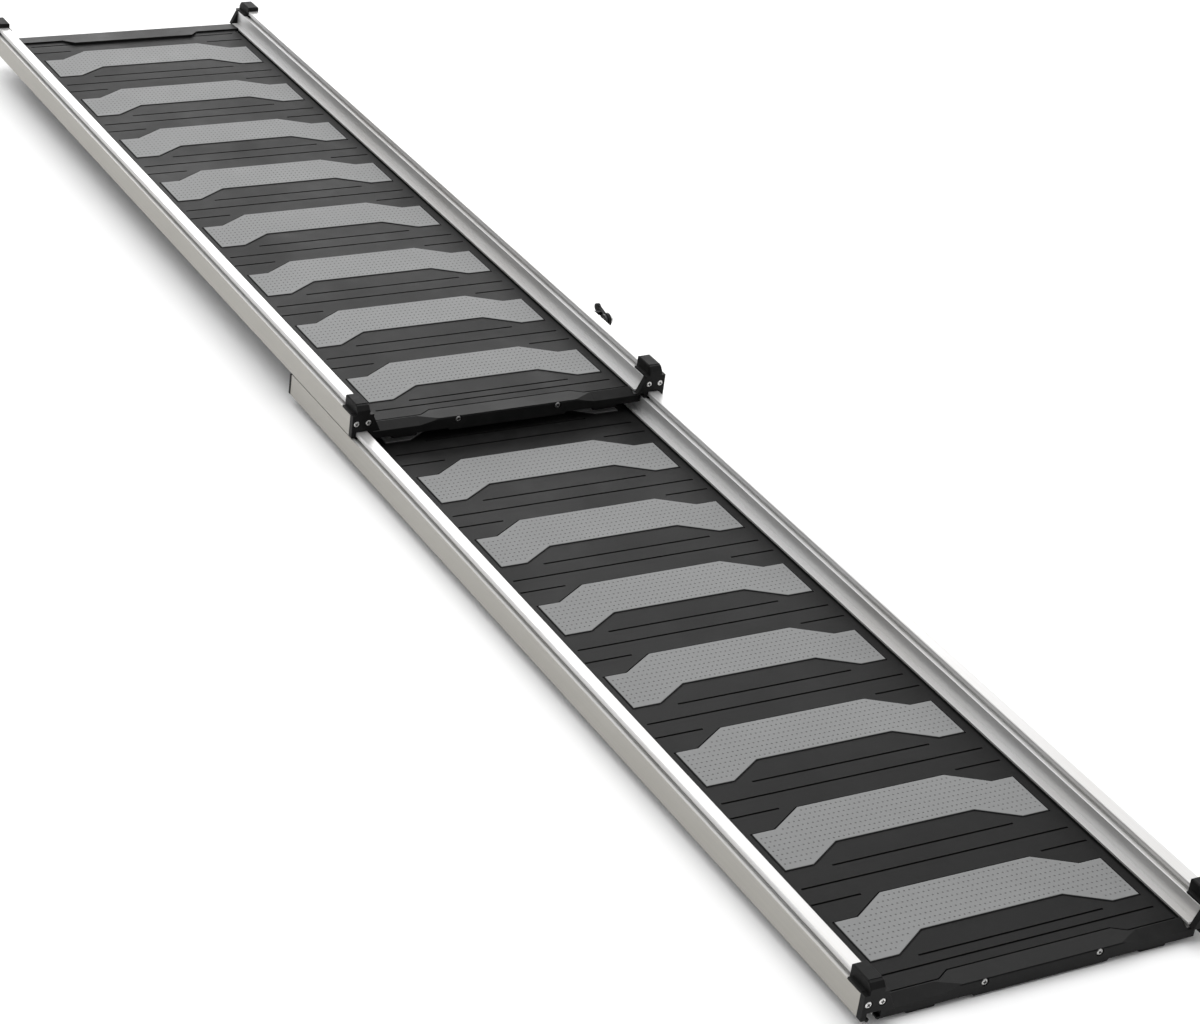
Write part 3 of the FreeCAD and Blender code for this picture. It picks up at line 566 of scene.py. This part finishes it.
def islands(bm):
    """The separate solids of a mesh, as lists of points."""
    left = set(bm.verts)
    groups = []
    while left:
        reached = [left.pop()]
        points = []
        while reached:
            vert = reached.pop()
            points.append(vert.co.copy())
            for edge in vert.link_edges:
                other = edge.other_vert(vert)
                if other in left:
                    left.remove(other)
                    reached.append(other)
        groups.append(points)
    return sorted(groups, key=lambda g: tuple(round(c, 5) for c in sum(g, Vector()) / len(g)))


def screw_frame(points):
    """Seat, direction of the head, head height and shank length of one screw."""
    low = Vector([min(p[a] for p in points) for a in range(3)])
    high = Vector([max(p[a] for p in points) for a in range(3)])
    axis = max(range(3), key=lambda a: abs((high - low)[a] - 2 * RIM_RADIUS))
    middle = (low + high) / 2
    off = [math.hypot(*[(p - middle)[a] for a in range(3) if a != axis]) for p in points]
    wide = [p[axis] for p, distance in zip(points, off) if distance > RIM_RADIUS * 0.98]
    towards = 1.0 if sum(wide) / len(wide) > middle[axis] else -1.0
    seat = min(wide) if towards > 0 else max(wide)
    top = high[axis] if towards > 0 else low[axis]
    tail = low[axis] if towards > 0 else high[axis]
    place = middle.copy()
    place[axis] = seat
    way = Vector([towards if a == axis else 0.0 for a in range(3)])
    return place, way, abs(top - seat), abs(seat - tail)


def build_screws():
    """Turned heads with a cross recess for the screws that show, each at an angle of its own."""
    for node in ("lower_cap_screws", "upper_cap_screws", "lower_strip_screws", "upper_strip_screws",
                 "latch_screws"):
        source = welded(node)
        bm = bmesh.new()
        for points in islands(source):
            place, way, high, shank = screw_frame(points)
            spin = Matrix.Rotation(rng.uniform(0.0, math.pi / 2), 3, "Z")
            screw_mesh(bm, place, way.to_track_quat("Z", "Y").to_matrix() @ spin, high, shank)
        source.free()
        bmesh.ops.recalc_face_normals(bm, faces=bm.faces)
        mesh = bpy.data.meshes.new("turned_" + node)
        bm.to_mesh(mesh)
        bm.free()
        # the strip screws take the rougher steel whose darker colour is painted shade
        new_piece("turned_" + node, mesh, node, (DULL_SHADED_SCREW if "strip" in node else SCREW, RECESS_SHADE))


# ------------------------------------------------------------------ softened edges

def soft_mesh(name, node, width):
    """The node's own shape with its sharp edges rounded off."""
    bm = welded(node)
    sharp = [e for e in bm.edges if len(e.link_faces) == 2 and e.calc_face_angle(0.0) > SHARP_ANGLE]
    bmesh.ops.bevel(bm, geom=sharp, offset=width, offset_type="OFFSET", segments=2, profile=0.5,
                    affect="EDGES", clamp_overlap=True)
    bmesh.ops.remove_doubles(bm, verts=bm.verts, dist=WELD_DISTANCE)
    mesh = bpy.data.meshes.new(name)
    bm.to_mesh(mesh)
    bm.free()
    return mesh


def build_soft_pieces():
    """Rounded copies of the moulded, coated and rubber pieces."""
    for node in sorted(frame["nodes"]):
        for part, width in SOFT_EDGES.items():
            if part in node and "screws" not in node:
                name = "soft_" + node
                new_piece(name, soft_mesh(name, node, width), node, (BY_SLOT[SLOT_OF[node]],))


# ------------------------------------------------------------------ carried-over pieces

def dress_frame():
    """A material for every CAD piece, by its slot."""
    for node, piece in frame["nodes"].items():
        material = BY_SLOT[SLOT_OF[node]]
        piece.data.materials.clear()
        piece.data.materials.append(material)


# ------------------------------------------------------------------ floor, light and camera

def build_floor():
    """A plain pale floor under the ramp."""
    bm = bmesh.new()
    bmesh.ops.create_grid(bm, x_segments=8, y_segments=8, size=FLOOR_HALF_WIDTH)
    mesh = bpy.data.meshes.new("floor")
    bm.to_mesh(mesh)
    bm.free()
    floor = bpy.data.objects.new("floor", mesh)
    bpy.context.scene.collection.objects.link(floor)
    f = Finish("pale_floor")
    base = f.mix(f.noise(3.0, detail=2.0), rgb(0.92), rgb(0.94))
    f.set(Base_Color=base, Roughness=0.9, Specular_IOR_Level=0.1)
    mesh.materials.append(f.material)


def area_light(name, place, aim, size, power):
    data = bpy.data.lights.new(name, "AREA")
    data.shape = "RECTANGLE"
    data.size, data.size_y = size
    data.energy = power
    light = bpy.data.objects.new(name, data)
    light.location = place
    light.rotation_euler = (Vector(aim) - Vector(place)).to_track_quat("-Z", "Y").to_euler()
    bpy.context.scene.collection.objects.link(light)


def build_light():
    """An even white surround, brighter behind and above the ramp than in front of it, and two soft boxes."""
    world = bpy.data.worlds.new("studio")
    bpy.context.scene.world = world
    world.use_nodes = True
    tree = world.node_tree
    way = tree.nodes.new("ShaderNodeTexCoord").outputs["Generated"]
    dot = tree.nodes.new("ShaderNodeVectorMath")
    dot.operation = "DOT_PRODUCT"
    tree.links.new(way, dot.inputs[0])
    dot.inputs[1].default_value = Vector(SURROUND_WAY).normalized()
    span = tree.nodes.new("ShaderNodeMapRange")
    tree.links.new(dot.outputs["Value"], span.inputs["Value"])
    for socket, number in SURROUND_SPAN:
        span.inputs[socket].default_value = number
    background = tree.nodes["Background"]
    background.inputs["Color"].default_value = (1.0, 1.0, 1.0, 1.0)
    tree.links.new(span.outputs[0], background.inputs["Strength"])
    for light in AREA_LIGHTS:
        area_light(*light)


def build_camera():
    """The camera at the product view's place and angle."""
    data = bpy.data.cameras.new("camera")
    data.sensor_fit = "HORIZONTAL"
    data.sensor_width = SENSOR_WIDTH
    data.lens = CAMERA_LENS
    data.clip_end = 200.0
    camera = bpy.data.objects.new("camera", data)
    look = Vector(CAMERA_LOOK).normalized()
    right = look.cross(Vector(CAMERA_UP)).normalized()
    up = right.cross(look)
    turn = Matrix((right, up, -look)).transposed().to_4x4()
    camera.matrix_world = Matrix.Translation(CAMERA_PLACE) @ turn
    bpy.context.scene.collection.objects.link(camera)
    bpy.context.scene.camera = camera


dress_frame()
build_grips()
build_screws()
build_soft_pieces()
build_floor()
build_light()
build_camera()
bpy.context.scene.view_settings.view_transform = "Standard"
